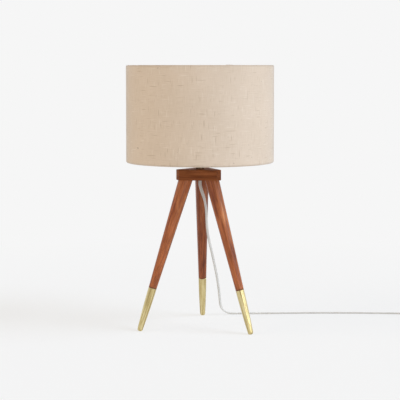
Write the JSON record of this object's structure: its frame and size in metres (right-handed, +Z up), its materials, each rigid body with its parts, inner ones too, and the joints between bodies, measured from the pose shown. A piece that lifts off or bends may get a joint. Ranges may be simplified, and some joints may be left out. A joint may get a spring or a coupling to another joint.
{
  "type": "tripod table lamp",
  "caption": "Table lamp with a linen drum shade on a wooden tripod: tapered legs with brass ferrules under a flat six-sided block, keyed lampholder, bulb and flat mains cord with plug.",
  "frame": {"origin": "on the table, on the vertical axis of the shade and the block", "axes": "+Z up the lamp's axis; the two front legs stand towards -Y, to the left and right of it, and the rear leg towards +Y; the switch key points along +X"},
  "size_m": [0.6283, 0.3352, 0.5],
  "materials": {
    "dark_wood": "stained dark walnut, satin lacquer",
    "leg_wood": "stained walnut, satin lacquer",
    "satin_brass": "pale satin brass",
    "bright_brass": "brass",
    "plated_steel": "zinc plated",
    "dark_metal": "bronzed, satin",
    "black_plastic": "moulded",
    "ivory_plastic": "moulded insulator",
    "white_wire": "white powder coat",
    "white_lining": "white styrene sheet",
    "linen": "slubby natural linen",
    "bulb_metal": "plain",
    "bulb_opal": "opal white",
    "cord_plastic": "translucent pale grey vinyl"
  },
  "bodies": {
    "lamp": {"hub_block": "dark_wood", "leg_left": "leg_wood", "leg_right": "leg_wood", "leg_rear": "leg_wood", "ferrule_left": "satin_brass", "ferrule_right": "satin_brass", "ferrule_rear": "satin_brass", "hanger_bolts": "plated_steel", "block_inserts": "bright_brass", "threaded_tube": "plated_steel", "tube_washer": "plated_steel", "tube_nut": "plated_steel", "neck_collar": "dark_metal", "cord_bush": "black_plastic", "holder_cap": "bright_brass", "cap_nut": "plated_steel", "holder_skirt": "bright_brass", "insulator": "ivory_plastic", "screw_shell": "bright_brass", "centre_contact": "bright_brass", "terminal_screws": "bright_brass", "inner_cord": "cord_plastic", "terminal_leads": "cord_plastic", "switch_body": "black_plastic", "shade_ring_nut": "black_plastic", "shade_carrier": "white_wire", "shade_top_ring": "white_wire", "shade_lining": "white_lining", "shade_cover": "linen", "bulb_cap": "bulb_metal", "bulb_globe": "bulb_opal", "cord_run": "cord_plastic", "cord_coil": "cord_plastic", "coil_tie": "black_plastic", "plug_body": "cord_plastic", "plug_blades": "bright_brass"},
    "key": {"switch_spindle": "plated_steel", "switch_key": "black_plastic"}
  },
  "joints": [
    {"name": "key_turn", "type": "hinge", "parent": "lamp", "child": "key", "pos_m": [0.03, 0, 0.3285], "axis": [1, 0, 0], "continuous": true}
  ]
}
